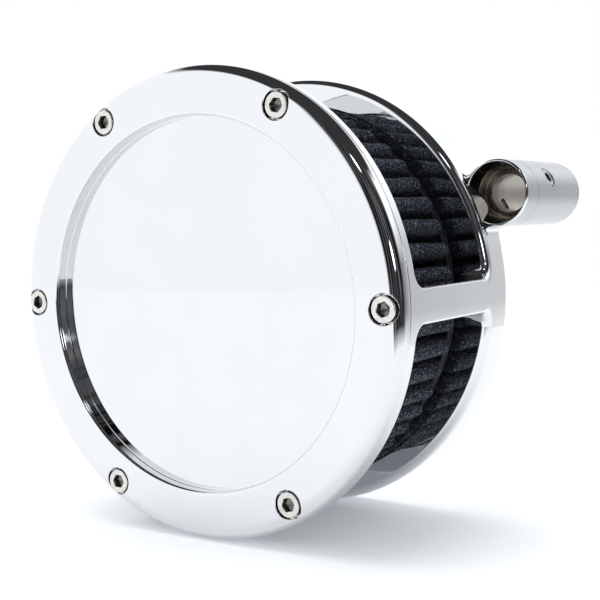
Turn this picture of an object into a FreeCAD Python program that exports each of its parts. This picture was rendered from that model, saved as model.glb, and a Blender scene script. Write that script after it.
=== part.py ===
import FreeCAD, Part
import math
import os

import Sketcher

# Billet air cleaner for a motorcycle: an open cage that holds a pleated element against its back
# plate, a recessed disc cover held by cap screws, and two hollow standoffs that reach back to the
# cylinder heads. Millimetres. +X right, +Y back towards the engine, +Z up. The origin is the
# centre of the throttle bore on the back plate's rear face, so the cover faces -Y.

SIZES = {
    # Overall
    "outer_radius": 90.0,
    "depth": 86.0,
    "screws": 6,
    "ribs": 3,
    # Cover
    "flange": 6.0,
    "rim_round": 4.8,
    "recess_radius": 71.0,
    "recess_depth": 5.0,
    "recess_round": 1.4,
    "spigot_depth": 4.0,
    "spigot_gap": 0.3,
    "screw_circle": 82.5,
    "counterbore": 5.45,
    "counterbore_depth": 4.3,
    "screw_hole": 3.4,
    "tapped_hole": 2.5,
    "tapped_depth": 6.0,
    # Cage
    "cage_radius": 79.0,
    "ring_width": 5.0,
    "rib_half": 6.5,
    "corner": 6.0,
    "plate": 15.5,
    "lip_round": 3.5,
    "edge_break": 1.0,
    "window_break": 1.0,
    "locator_outer": 57.0,
    "locator_inner": 54.0,
    "locator_height": 3.0,
    # Throttle side
    "throttle_radius": 27.5,
    "bell_spigot": 31.0,
    "bell_gap": 0.05,
    "bell_flange": 50.0,
    "bell_flange_width": 8.0,
    "bell_lip": 7.0,
    "bell_counterbore": 6.6,
    "bell_counterbore_depth": 5.0,
    "bolt_circle": 41.5,
    "bolt_count": 3,
    "bolt_hole": 3.4,
    "bolt_reach": 12.0,
    "seal_circle": 33.9,
    "seal_section": 1.25,
    "seal_groove": 1.4,
    # Ears and standoffs
    "ear_circle": 99.05,
    "ear_angle": 23.25,
    "ear_radius": 13.0,
    "ear_blend": 4.5,
    "ear_round": 0.8,
    "ear_front": 11.0,
    "ear_root": 84.0,
    "countersink": 12.0,
    "head_bore": 10.0,
    "register_radius": 11.5,
    "register_depth": 4.0,
    "seat_start": 2.0,
    "seat_end": 8.0,
    "stem_bore": 7.4,
    "standoff_end": 45.3,
    "chamber_radius": 8.8,
    "tip_circle": 11.0,
    "tip_section": 0.75,
    "tip_groove": 0.95,
    "grub_place": 15.0,
    "grub_angle": 28.0,
    "grub_radius": 3.9,
    "grub_hole": 4.0,
    "grub_sunk": 0.5,
    "grub_length": 3.6,
    "vent_radius": 2.25,
    # Element
    "element_gap": 0.8,
    "element_play": 0.2,
    "element_inner": 58.7,
    "cap": 1.6,
    "cap_bore": 57.4,
    "pleats": 50,
    "crest_bend": 2.6,
    "valley_bend": 1.5,
    "gauze_half": 0.45,
    "mesh_width": 0.15,
    # Fasteners
    "screw_thread": 2.4,
    "screw_neck": 2.2,
    "screw_neck_length": 1.7,
    "head": 4.75,
    "head_height": 4.2,
    "head_break": 0.4,
    "cover_screw_length": 6.35,
    "cover_screw_socket": 2.4,
    "bolt_thread": 3.175,
    "bolt_neck": 2.75,
    "bolt_head": 4.75,
    "bolt_head_height": 6.35,
    "bolt_socket": 3.2,
    "socket": 2.4,
    "grub_socket": 2.0,
    "grub_socket_depth": 2.2,
    "tip_break": 0.6,
    "washer_radius": 6.0,
    "washer_width": 1.2,
}

document = FreeCAD.newDocument("air_cleaner")
sheet = document.addObject("Spreadsheet::Sheet", "sizes")
for row, (alias, number) in enumerate(SIZES.items(), start=1):
    sheet.set("A%d" % row, alias)
    sheet.set("B%d" % row, str(number))
    sheet.setAlias("B%d" % row, alias)
document.recompute()

nodes = []


def size(expression):
    """The present value of an expression in the sheet's aliases."""
    return float(sheet.evalExpression(expression))


def bound(expression):
    """The same expression as another object of the document writes it."""
    for alias in sorted(SIZES, key=len, reverse=True):
        expression = expression.replace("{%s}" % alias, "sizes.%s" % alias)
    return expression


def worth(expression):
    return size(expression.replace("{", "").replace("}", ""))


def bind(thing, **expressions):
    for name, expression in expressions.items():
        thing.setExpression(name.replace("__", "."), bound(expression))


def keep(thing, label):
    thing.Label = label
    nodes.append(thing)
    return thing


def plane(body, role):
    return next(part for part in body.Origin.OriginFeatures if part.Role == role)


def pin_vertex(sketch, geometry, end, place):
    """Hold one vertex of a sketch at a place given by two expressions."""
    for kind, axis, expression in (("DistanceX", -2, place[0]), ("DistanceY", -1, place[1])):
        number = worth(expression)
        if abs(number) < 1e-9:
            sketch.addConstraint(Sketcher.Constraint("PointOnObject", geometry, end, axis))
            continue
        index = sketch.addConstraint(Sketcher.Constraint(kind, geometry, end, number))
        sketch.setExpression("Constraints[%d]" % index, bound(expression))


def draw_outline(sketch, outline):
    """Draw a closed outline. Each entry is a vertex (x, y), or (x, y, radius, side) where the
    stretch to the next vertex is an arc whose centre lies left (+1) or right (-1) of it."""
    ends = []
    for entry, following in zip(outline, outline[1:] + outline[:1]):
        start = FreeCAD.Vector(worth(entry[0]), worth(entry[1]), 0)
        stop = FreeCAD.Vector(worth(following[0]), worth(following[1]), 0)
        if len(entry) == 2:
            geometry = sketch.addGeometry(Part.LineSegment(start, stop))
            ends.append((geometry, 1, 2))
            continue
        radius = worth(entry[2])
        chord = stop - start
        across = FreeCAD.Vector(-chord.y, chord.x, 0).normalize() * entry[3]
        centre = (start + stop) * 0.5 + across * math.sqrt(radius ** 2 - (chord.Length / 2) ** 2)
        turn = [math.atan2(point.y - centre.y, point.x - centre.x) for point in (start, stop)]
        circle = Part.Circle(centre, FreeCAD.Vector(0, 0, 1), radius)
        if entry[3] > 0:
            geometry = sketch.addGeometry(Part.ArcOfCircle(circle, turn[0], turn[1]))
            ends.append((geometry, 1, 2))
        else:
            geometry = sketch.addGeometry(Part.ArcOfCircle(circle, turn[1], turn[0]))
            ends.append((geometry, 2, 1))
        index = sketch.addConstraint(Sketcher.Constraint("Radius", geometry, radius))
        sketch.setExpression("Constraints[%d]" % index, bound(entry[2]))
    for here, following in zip(ends, ends[1:] + ends[:1]):
        sketch.addConstraint(Sketcher.Constraint("Coincident", here[0], here[2], following[0], following[1]))
    for (geometry, first, _), entry in zip(ends, outline):
        pin_vertex(sketch, geometry, first, entry)


def sketch_in(body, name, role, offset=None):
    sketch = body.newObject("Sketcher::SketchObject", name)
    sketch.AttachmentSupport = [(plane(body, role), "")]
    sketch.MapMode = "FlatFace"
    if offset:
        sketch.setExpression("AttachmentOffset.Base.z", bound(offset))
    return sketch


def turned_body(name, outline):
    """A body turned about the Y axis from an outline of (radius, y) vertices."""
    body = document.addObject("PartDesign::Body", name)
    sketch = sketch_in(body, name + "_outline", "XY_Plane")
    draw_outline(sketch, outline)
    turn = body.newObject("PartDesign::Revolution", name + "_turn")
    turn.Profile = sketch
    turn.ReferenceAxis = (sketch, ["V_Axis"])
    turn.Angle = 360
    document.recompute()
    return body


def patterned_holes(body, name, place, radius, start, depth, count):
    """Round pockets about Y, the first at place (x, z), cut towards +Y from the plane y = start."""
    before = body.Shape.Volume
    sketch = sketch_in(body, name + "_circle", "XZ_Plane", "-(%s)" % start)
    centre = FreeCAD.Vector(worth(place[0]), worth(place[1]), 0)
    circle = sketch.addGeometry(Part.Circle(centre, FreeCAD.Vector(0, 0, 1), worth(radius)))
    pin_vertex(sketch, circle, 3, place)
    index = sketch.addConstraint(Sketcher.Constraint("Radius", circle, worth(radius)))
    sketch.setExpression("Constraints[%d]" % index, bound(radius))
    pocket = body.newObject("PartDesign::Pocket", name)
    pocket.Profile = sketch
    pocket.setExpression("Length", bound(depth))
    document.recompute()
    pattern = body.newObject("PartDesign::PolarPattern", name + "_pattern")
    pattern.Originals = [pocket]
    pattern.Axis = (plane(body, "Y_Axis"), [""])
    pattern.Angle = 360
    pattern.setExpression("Occurrences", bound(count))
    body.Tip = pattern
    document.recompute()
    assert body.Shape.Volume < before - 1, name
    return pattern


def rod(name, radius, start, stop, x="0", z="0"):
    """A cylinder along Y from y = start to y = stop."""
    cylinder = document.addObject("Part::Cylinder", name)
    cylinder.Placement.Rotation = FreeCAD.Rotation(FreeCAD.Vector(1, 0, 0), -90)
    bind(cylinder, Radius=radius, Height="(%s) - (%s)" % (stop, start), Placement__Base__x=x,
         Placement__Base__y=start, Placement__Base__z=z)
    return cylinder


def joined(name, parts):
    fuse = document.addObject("Part::MultiFuse", name)
    fuse.Shapes = parts
    fuse.Refine = True
    return fuse


def taken(name, base, tool):
    cut = document.addObject("Part::Cut", name)
    cut.Base = base
    cut.Tool = tool
    return cut


FRONT = "-{depth}"
SEAM = "-{depth} + {flange}"
COVER_BACK = "-{depth} + {flange} + {spigot_depth}"
WINDOW_FRONT = "-{depth} + {flange} + {ring_width}"
PLATE_FACE = "-{plate}"
LIP_EDGE = "-{plate} + {lip_round}"
ELEMENT_FRONT = COVER_BACK + " + {element_play}"
ELEMENT_REAR = PLATE_FACE + " - {element_play}"


def front_cover():
    """Disc with a stepped recess in front and a spigot behind that centres in the cage."""
    wall = "{recess_radius}"
    edge = "{recess_radius} + {recess_round}"
    floor = "-{depth} + {recess_depth}"
    spigot = "{cage_radius} - {spigot_gap}"
    body = turned_body("cover_body", [
        ("0", floor),
        (wall, floor),
        (wall, "-{depth} + {recess_round}", "{recess_round}", -1),
        (edge, FRONT),
        ("{outer_radius} - {rim_round}", FRONT, "{rim_round}", 1),
        ("{outer_radius}", "-{depth} + {rim_round}"),
        ("{outer_radius}", SEAM),
        (spigot, SEAM),
        (spigot, COVER_BACK),
        ("{locator_outer}", COVER_BACK),
        ("{locator_outer}", COVER_BACK + " + {locator_height}"),
        ("{locator_inner}", COVER_BACK + " + {locator_height}"),
        ("{locator_inner}", COVER_BACK),
        ("0", COVER_BACK),
    ])
    patterned_holes(body, "counterbore", ("{screw_circle}", "0"), "{counterbore}", FRONT,
                    "{counterbore_depth}", "{screws}")
    patterned_holes(body, "screw_hole", ("{screw_circle}", "0"), "{screw_hole}", FRONT,
                    "{flange} + 1", "{screws}")
    return keep(body, "front_cover")


def housing_blank():
    """Cage wall and back plate as one turning, with the tapped, bolt and seal features."""
    locator = PLATE_FACE + " - {locator_height}"
    bore = "{bell_spigot} + {bell_gap}"
    groove = "2 * {seal_section}"
    body = turned_body("housing_body", [
        (bore, "0"),
        ("{seal_circle} - {seal_groove}", "0"),
        ("{seal_circle} - {seal_groove}", "-(%s)" % groove),
        ("{seal_circle} + {seal_groove}", "-(%s)" % groove),
        ("{seal_circle} + {seal_groove}", "0"),
        ("{outer_radius} - {edge_break}", "0", "{edge_break}", -1),
        ("{outer_radius}", "-{edge_break}"),
        ("{outer_radius}", SEAM),
        ("{cage_radius}", SEAM),
        ("{cage_radius}", PLATE_FACE),
        ("{locator_outer}", PLATE_FACE),
        ("{locator_outer}", locator),
        ("{locator_inner}", locator),
        ("{locator_inner}", PLATE_FACE),
        (bore, PLATE_FACE),
    ])
    patterned_holes(body, "tapped_hole", ("{screw_circle}", "0"), "{tapped_hole}", SEAM,
                    "{tapped_depth}", "{screws}")
    patterned_holes(body, "bolt_hole", ("0", "{bolt_circle}"), "{bolt_hole}", PLATE_FACE + " - 1",
                    "{plate} + 2", "{bolt_count}")
    return body


def window_cutter(index):
    """Part of the windows, cut radially: both sides of a rib, with rounded corners at the rib, or
    the middle of a window between two ribs."""
    body = document.addObject("PartDesign::Body", "window_%d" % index)
    reach = "{outer_radius} * 0.53"
    sketch = sketch_in(body, "window_outline_%d" % index, "YZ_Plane", "{cage_radius} * 0.83")
    if index % 2:
        draw_outline(sketch, [
            (WINDOW_FRONT, "-(%s)" % reach),
            (LIP_EDGE, "-(%s)" % reach),
            (LIP_EDGE, reach),
            (WINDOW_FRONT, reach),
        ])
    else:
        for sign in (1, -1):
            near = "%d * {rib_half}" % sign
            far = "%d * (%s)" % (sign, reach)
            turned = "%d * ({rib_half} + {corner})" % sign
            draw_outline(sketch, [
                (WINDOW_FRONT, turned, "{corner}", sign),
                (WINDOW_FRONT + " + {corner}", near),
                (LIP_EDGE + " - {corner}", near, "{corner}", sign),
                (LIP_EDGE, turned),
                (LIP_EDGE, far),
                (WINDOW_FRONT, far),
            ])
    pad = body.newObject("PartDesign::Pad", "window_pad_%d" % index)
    pad.Profile = sketch
    pad.setExpression("Length", bound("{outer_radius} * 0.3"))
    turn = index * 180.0 / worth("{ribs}")
    body.Placement.Rotation = FreeCAD.Rotation(FreeCAD.Vector(0, -1, 0), turn)
    return body


def window_tool():
    """All the windows, less the back plate's rounded lip, which they leave standing."""
    envelope = turned_body("window_envelope", [
        ("{cage_radius} * 0.8", WINDOW_FRONT),
        ("{outer_radius} + 2", WINDOW_FRONT),
        ("{outer_radius} + 2", LIP_EDGE),
        ("{outer_radius}", LIP_EDGE, "{lip_round}", 1),
        ("{outer_radius} - {lip_round}", PLATE_FACE),
        ("{cage_radius} * 0.8", PLATE_FACE),
    ])
    cutters = [window_cutter(index) for index in range(2 * int(worth("{ribs}")))]
    document.recompute()
    tool = document.addObject("Part::MultiCommon", "window_tool")
    tool.Shapes = [joined("window_cutters", cutters), envelope]
    return tool


def ear(side):
    """One ear: a round boss beside the cage that carries a standoff, blended into the plate."""
    name = "ear_right" if side > 0 else "ear_left"
    swing = "({outer_radius} + {ear_blend})"
    reach = "({ear_radius} + {ear_blend})"
    along = "(({ear_circle}^2 + %s^2 - %s^2) / (2 * {ear_circle}))" % (swing, reach)
    across = "sqrt(%s^2 - %s^2)" % (swing, along)
    root = ("%s * {outer_radius} / %s" % (along, swing), "%s * {outer_radius} / %s" % (across, swing))
    toe = ("{ear_circle} + (%s - {ear_circle}) * {ear_radius} / %s" % (along, reach),
           "%s * {ear_radius} / %s" % (across, reach))
    body = document.addObject("PartDesign::Body", name)
    sketch = sketch_in(body, name + "_outline", "XZ_Plane")
    draw_outline(sketch, [
        ("{ear_root}", "-" + root[1]),
        (root[0], "-" + root[1], "{ear_blend}", -1),
        (toe[0], "-" + toe[1], "{ear_radius}", 1),
        ("{ear_circle} + {ear_radius}", "0", "{ear_radius}", 1),
        (toe[0], toe[1], "{ear_blend}", -1),
        root,
        ("{ear_root}", root[1]),
    ])
    pad = body.newObject("PartDesign::Pad", name + "_pad")
    pad.Profile = sketch
    pad.setExpression("Length", bound("{ear_front}"))
    document.recompute()
    front = [number for number, edge in enumerate(pad.Shape.Edges, start=1)
             if edge.BoundBox.YMax < 0.01 - worth("{ear_front}") and edge.BoundBox.XMax > 90]
    rounding = body.newObject("PartDesign::Fillet", name + "_rounding")
    rounding.Base = (pad, ["Edge%d" % number for number in front])
    rounding.setExpression("Radius", bound("{ear_round}"))
    body.Tip = rounding
    angle = worth("{ear_angle}")
    turn = angle if side > 0 else 180 - angle
    body.Placement.Rotation = FreeCAD.Rotation(FreeCAD.Vector(0, -1, 0), turn)
    return body


def ear_bore(side):
    """The way in for a head bolt through an ear, countersunk in front, a register at the back."""
    name = "bore_right" if side > 0 else "bore_left"
    x = "%d * {ear_circle} * cos({ear_angle})" % side
    z = "{ear_circle} * sin({ear_angle})"
    cone = document.addObject("Part::Cone", name + "_countersink")
    cone.Placement.Rotation = FreeCAD.Rotation(FreeCAD.Vector(1, 0, 0), -90)
    bind(cone, Radius1="{countersink}", Radius2="{head_bore}",
         Height="{ear_front} - {register_depth}", Placement__Base__x=x,
         Placement__Base__y="-{ear_front}", Placement__Base__z=z)
    return [
        cone,
        rod(name + "_mouth", "{countersink}", "-{plate}", "-{ear_front}", x, z),
        rod(name + "_register", "{register_radius}", "-{register_depth}", "1", x, z),
    ]


def on_window_edge(edge):
    """Whether an edge is a rib's or the front ring's outer corner at a window."""
    box = edge.BoundBox
    outer = all(abs(math.hypot(point.x, point.z) - worth("{outer_radius}")) < 0.01
                for point in edge.discretize(5))
    ahead = box.YMax < worth(LIP_EDGE) - worth("{corner}") + 0.01
    behind = box.YMin > worth(WINDOW_FRONT) - 0.01
    return outer and ahead and behind


def housing():
    opened = taken("housing_opened", housing_blank(), window_tool())
    whole = joined("housing_whole", [opened, ear(1), ear(-1)])
    drilled = taken("housing_drilled", whole, joined("ear_bores", ear_bore(1) + ear_bore(-1)))
    document.recompute()
    edges = [number for number, edge in enumerate(drilled.Shape.Edges, start=1)
             if on_window_edge(edge)]
    rounding = document.addObject("Part::Fillet", "housing_rounding")
    rounding.Base = drilled
    rounding.Edges = [(number, worth("{window_break}"), worth("{window_break}")) for number in edges]
    document.recompute()
    return keep(rounding, "housing")


def inlet_bell():
    """Radiused inlet ring that the throttle bolts clamp through the back plate."""
    face = "-{plate} - {bell_flange_width}"
    body = turned_body("bell_body", [
        ("{throttle_radius}", "0"),
        ("{throttle_radius}", face + " + {bell_lip}", "{bell_lip}", 1),
        ("{throttle_radius} + {bell_lip}", face),
        ("{bell_flange} - {edge_break}", face, "{edge_break}", 1),
        ("{bell_flange}", face + " + {edge_break}"),
        ("{bell_flange}", PLATE_FACE),
        ("{bell_spigot}", PLATE_FACE),
        ("{bell_spigot}", "0"),
    ])
    patterned_holes(body, "bell_counterbore", ("0", "{bolt_circle}"), "{bell_counterbore}", face,
                    "{bell_counterbore_depth}", "{bolt_count}")
    patterned_holes(body, "bell_hole", ("0", "{bolt_circle}"), "{bolt_hole}", face,
                    "{bell_flange_width} + 1", "{bolt_count}")
    return keep(body, "inlet_bell")


def ring_seal(label, circle, section, back, x="0", z="0"):
    """A round seal ring squeezed flush with the face at y = back."""
    torus = document.addObject("Part::Torus", label + "_torus")
    torus.Placement.Rotation = FreeCAD.Rotation(FreeCAD.Vector(1, 0, 0), -90)
    bind(torus, Radius1=circle, Radius2=section, Placement__Base__x=x,
         Placement__Base__y="(%s) - (%s)" % (back, section), Placement__Base__z=z)
    return keep(torus, label)


def standoff(side):
    """Hollow standoff: a register in front, a bolt seat, a chamber, a seal groove, a cross hole."""
    word = "right" if side > 0 else "left"
    spigot = "{register_radius} - {bell_gap}"
    groove = "{standoff_end} - 2 * {tip_section}"
    inside = "{tip_circle} - {tip_groove}"
    outside = "{tip_circle} + {tip_groove}"
    body = turned_body("standoff_body_" + word, [
        ("{head_bore}", "-{register_depth}"),
        (spigot, "-{register_depth}"),
        (spigot, "0"),
        ("{ear_radius}", "0"),
        ("{ear_radius}", "{standoff_end} - {tip_break}"),
        ("{ear_radius} - {tip_break}", "{standoff_end}"),
        (outside, "{standoff_end}"),
        (outside, groove),
        (inside, groove),
        (inside, "{standoff_end}"),
        ("{chamber_radius}", "{standoff_end}"),
        ("{chamber_radius}", "{seat_end}"),
        ("{stem_bore}", "{seat_end}"),
        ("{stem_bore}", "{seat_start}"),
        ("{head_bore}", "{seat_start}"),
    ])
    lean = worth("{grub_angle}") if side > 0 else 180 - worth("{grub_angle}")
    turn = FreeCAD.Rotation(FreeCAD.Vector(0, -1, 0), lean)
    upright = FreeCAD.Rotation(FreeCAD.Vector(0, 1, 0), 90)
    drills = []
    for part, radius, start, stop in (
        ("grub_hole", "{grub_hole}", "0", "{ear_radius} + 1"),
        ("vent", "{vent_radius}", "-{ear_radius} - 1", "0"),
    ):
        drill = document.addObject("Part::Cylinder", "%s_%s" % (part, word))
        bind(drill, Radius=radius, Height="(%s) - (%s)" % (stop, start))
        drill.Placement.Rotation = turn.multiply(upright)
        outward = turn.multVec(FreeCAD.Vector(worth(start), 0, 0))
        drill.Placement.Base = FreeCAD.Vector(outward.x, worth("{grub_place}"), outward.z)
        drills.append(drill)
    tube = taken("standoff_cut_" + word, body, joined("standoff_drills_" + word, drills))
    bind(tube, Placement__Base__x="%d * {ear_circle} * cos({ear_angle})" % side,
         Placement__Base__z="{ear_circle} * sin({ear_angle})")
    return keep(tube, "standoff_" + word)


def socket_fastener(label, outline, top, corner, depth):
    """A turned fastener along Y, head at the -Y end, with a hexagon socket in its top."""
    body = turned_body(label + "_body", outline)
    hexagon = document.addObject("Part::Prism", label + "_socket")
    hexagon.Polygon = 6
    hexagon.Placement.Rotation = FreeCAD.Rotation(FreeCAD.Vector(1, 0, 0), -90)
    bind(hexagon, Circumradius="(%s) / cos(30)" % corner, Height="(%s) + 1" % depth,
         Placement__Base__y="(%s) - 1" % top)
    return taken(label + "_cut", body, hexagon)


def cap_outline(head, height, neck, neck_end, thread, length):
    """Cap screw outline about Y with the head's underside at y = 0 and a neck before its thread."""
    return [
        ("0", "-(%s)" % height),
        ("%s - {head_break}" % head, "-(%s)" % height, "{head_break}", 1),
        (head, "{head_break} - (%s)" % height),
        (head, "0"),
        (neck, "0"),
        (neck, neck_end),
        (thread, neck_end),
        (thread, "(%s) - {tip_break}" % length),
        ("%s - {tip_break}" % thread, length),
        ("0", length),
    ]


def cover_screws():
    count = int(worth("{screws}"))
    turns = (12, 41, 27, 5, 33, 19)
    for index in range(count):
        angle = index * 360 / count
        screw = socket_fastener(
            "cover_screw_%d" % (index + 1),
            cap_outline("{head}", "{head_height}", "{screw_neck}", "{screw_neck_length}",
                        "{screw_thread}", "{cover_screw_length}"),
            "-{head_height}", "{socket}", "{cover_screw_socket}")
        screw.Placement.Rotation = FreeCAD.Rotation(FreeCAD.Vector(0, 1, 0), turns[index])
        bind(screw, Placement__Base__x="{screw_circle} * cos(%g)" % angle,
             Placement__Base__y="-{depth} + {counterbore_depth}",
             Placement__Base__z="{screw_circle} * sin(%g)" % angle)
        keep(screw, "cover_screw_%d" % (index + 1))


def throttle_bolts():
    count = int(worth("{bolt_count}"))
    seat = "-{plate} - {bell_flange_width} + {bell_counterbore_depth}"
    for index in range(count):
        number = index + 1
        angle = 90 + 360 * index / count
        x = "{bolt_circle} * cos(%g)" % angle
        z = "{bolt_circle} * sin(%g)" % angle
        neck_end = "{washer_width} - (%s)" % seat
        bolt = socket_fastener(
            "throttle_bolt_%d" % number,
            cap_outline("{bolt_head}", "{bolt_head_height}", "{bolt_neck}", neck_end,
                        "{bolt_thread}", neck_end + " + {bolt_reach}"),
            "-{bolt_head_height}", "{socket}", "{bolt_socket}")
        bind(bolt, Placement__Base__x=x, Placement__Base__y=seat + " - {washer_width}",
             Placement__Base__z=z)
        keep(bolt, "throttle_bolt_%d" % number)
        washer = taken(
            "washer_cut_%d" % number,
            rod("washer_disc_%d" % number, "{washer_radius}", "-{washer_width}", "0"),
            rod("washer_hole_%d" % number, "{bolt_hole}", "-{washer_width} - 1", "1"))
        bind(washer, Placement__Base__x=x, Placement__Base__y=seat, Placement__Base__z=z)
        keep(washer, "washer_%d" % number)


def grub_screw(side):
    """Grub screw in the standoff's cross hole, its socket facing outwards."""
    word = "right" if side > 0 else "left"
    outline = [
        ("0", "0"),
        ("{grub_radius} - {head_break}", "0"),
        ("{grub_radius}", "{head_break}"),
        ("{grub_radius}", "{grub_length} - {head_break}"),
        ("{grub_radius} - {head_break}", "{grub_length}"),
        ("0", "{grub_length}"),
    ]
    screw = socket_fastener("grub_" + word, outline, "0", "{grub_socket}", "{grub_socket_depth}")
    lean = worth("{grub_angle}") if side > 0 else 180 - worth("{grub_angle}")
    outward = FreeCAD.Rotation(FreeCAD.Vector(0, -1, 0), lean).multVec(FreeCAD.Vector(1, 0, 0))
    screw.Placement.Rotation = FreeCAD.Rotation(FreeCAD.Vector(0, -1, 0), outward)
    reach = "({ear_radius} - {grub_sunk})"
    bind(screw, Placement__Base__x="%d * ({ear_circle} * cos({ear_angle}) + %s * cos({grub_angle}))"
         % (side, reach), Placement__Base__y="{grub_place}",
         Placement__Base__z="{ear_circle} * sin({ear_angle}) + %s * sin({grub_angle})" % reach)
    return keep(screw, "grub_screw_" + word)


def element_cap(label, start, stop):
    """Moulded end cap that closes one end of the pleats."""
    lip = "{cage_radius} - {element_gap}"
    return keep(turned_body(label + "_body", [
        ("{cap_bore}", start),
        ("%s - {head_break}" % lip, start, "{head_break}", 1),
        (lip, "(%s) + {head_break}" % start),
        (lip, "(%s) - {head_break}" % stop, "{head_break}", 1),
        ("%s - {head_break}" % lip, stop),
        ("{cap_bore}", stop),
    ]), label)


def pleat_wire(offset, y):
    """Closed pleated line at a signed offset from the sheet's middle, outwards positive."""
    count = int(worth("{pleats}"))
    crest_bend = worth("{crest_bend}")
    valley_bend = worth("{valley_bend}")
    skin = worth("{gauze_half} + {mesh_width}")
    crest_circle = worth("{cage_radius} - {element_gap}") - skin - crest_bend
    valley_circle = worth("{element_inner}") + skin + valley_bend
    half = math.pi / count
    run = (valley_circle * math.cos(half) - crest_circle, valley_circle * math.sin(half))
    length = math.hypot(*run)
    lean = math.atan2(run[1], run[0]) - math.acos((crest_bend + valley_bend) / length)

    def spot(angle, circle, radius, local):
        x = circle + radius * math.cos(local)
        z = radius * math.sin(local)
        return FreeCAD.Vector(x * math.cos(angle) - z * math.sin(angle), y,
                              x * math.sin(angle) + z * math.cos(angle))

    edges = []
    for index in range(count):
        crest = 2 * half * index
        valley = crest + half
        outer = crest_bend + offset
        inner = valley_bend - offset
        crest_points = [spot(crest, crest_circle, outer, turn) for turn in (-lean, 0, lean)]
        valley_points = [spot(valley, valley_circle, inner, turn)
                         for turn in (math.pi + lean - half, math.pi, math.pi - lean + half)]
        following = spot(crest + 2 * half, crest_circle, outer, -lean)
        edges.append(Part.Arc(*crest_points).toShape())
        edges.append(Part.LineSegment(crest_points[-1], valley_points[0]).toShape())
        edges.append(Part.Arc(*valley_points).toShape())
        edges.append(Part.LineSegment(valley_points[-1], following).toShape())
    return Part.Wire(edges)


def pleated_layer(label, inner, outer):
    """One layer of the pleated sheet between two offsets, running between the end caps."""
    start = worth(ELEMENT_FRONT + " + {cap}")
    stop = worth(ELEMENT_REAR + " - {cap}")
    wires = [pleat_wire(worth(outer), start), pleat_wire(worth(inner), start)]
    face = Part.makeFace(wires, "Part::FaceMakerBullseye")
    layer = document.addObject("Part::Feature", label)
    layer.Shape = face.extrude(FreeCAD.Vector(0, stop - start, 0))
    return keep(layer, label)


front_cover()
cover_screws()
housing()
inlet_bell()
throttle_bolts()
ring_seal("throttle_seal", "{seal_circle}", "{seal_section}", "0")
for hand, hand_word in ((1, "right"), (-1, "left")):
    standoff(hand)
    grub_screw(hand)
    ring_seal("standoff_seal_" + hand_word, "{tip_circle}", "{tip_section}", "{standoff_end}",
              "%d * {ear_circle} * cos({ear_angle})" % hand, "{ear_circle} * sin({ear_angle})")
element_cap("element_front_cap", ELEMENT_FRONT, ELEMENT_FRONT + " + {cap}")
element_cap("element_rear_cap", ELEMENT_REAR + " - {cap}", ELEMENT_REAR)
pleated_layer("element_gauze", "-{gauze_half}", "{gauze_half}")
pleated_layer("element_outer_mesh", "{gauze_half}", "{gauze_half} + {mesh_width}")
pleated_layer("element_inner_mesh", "-{gauze_half} - {mesh_width}", "-{gauze_half}")
document.recompute()

for thing in document.Objects:
    if "Invalid" in thing.State or "Error" in thing.State:
        raise RuntimeError("%s did not build: %s" % (thing.Name, thing.State))
for node in nodes:
    if node.Shape.isNull() or not node.Shape.isValid():
        raise RuntimeError("%s has no valid shape" % node.Label)

os.makedirs("parts", exist_ok=True)
for node in nodes:
    node.Shape.exportStep("parts/%s.step" % node.Label)
    print("%s: %d solid, %.1f mm3" % (node.Label, len(node.Shape.Solids), node.Shape.Volume))
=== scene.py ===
"""Looks of a billet air filter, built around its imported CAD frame.

The machined parts are meshed from distance functions, in millimetres: each function gives how far a
point is from the part's surface, negative inside, so every edge has a true radius and every vertex
a true normal. +X is right, +Y is back towards the engine and +Z is up.
"""

import math

import bpy
import numpy as np
from mathutils import Matrix, Vector


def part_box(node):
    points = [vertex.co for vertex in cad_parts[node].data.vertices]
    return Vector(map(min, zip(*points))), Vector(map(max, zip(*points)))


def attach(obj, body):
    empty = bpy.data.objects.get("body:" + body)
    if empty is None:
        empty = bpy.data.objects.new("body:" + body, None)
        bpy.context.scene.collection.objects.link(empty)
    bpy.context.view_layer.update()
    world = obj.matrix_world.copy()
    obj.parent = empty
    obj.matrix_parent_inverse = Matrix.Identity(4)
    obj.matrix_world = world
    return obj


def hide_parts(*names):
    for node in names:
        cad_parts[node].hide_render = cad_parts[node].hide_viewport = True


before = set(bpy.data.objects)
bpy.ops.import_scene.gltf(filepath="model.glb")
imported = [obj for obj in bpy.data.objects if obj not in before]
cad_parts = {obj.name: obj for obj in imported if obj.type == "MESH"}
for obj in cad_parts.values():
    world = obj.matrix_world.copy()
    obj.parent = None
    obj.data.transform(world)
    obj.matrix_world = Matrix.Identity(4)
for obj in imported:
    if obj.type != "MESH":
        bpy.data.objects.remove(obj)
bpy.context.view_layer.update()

MM = 0.001
SCREWS = 6
RIBS = 3


def node_box(node):
    """A CAD node's lowest and highest corners in millimetres."""
    low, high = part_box(node)
    return np.array(low) / MM, np.array(high) / MM


cover_low, cover_high = node_box("front_cover")
cage_low, _ = node_box("housing")
tube_low, tube_high = node_box("standoff_right")
screw_low, screw_high = node_box("cover_screw_1")
bell_low, bell_high = node_box("inlet_bell")
gauze_low, gauze_high = node_box("element_gauze")
_, mesh_high = node_box("element_outer_mesh")

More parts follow.
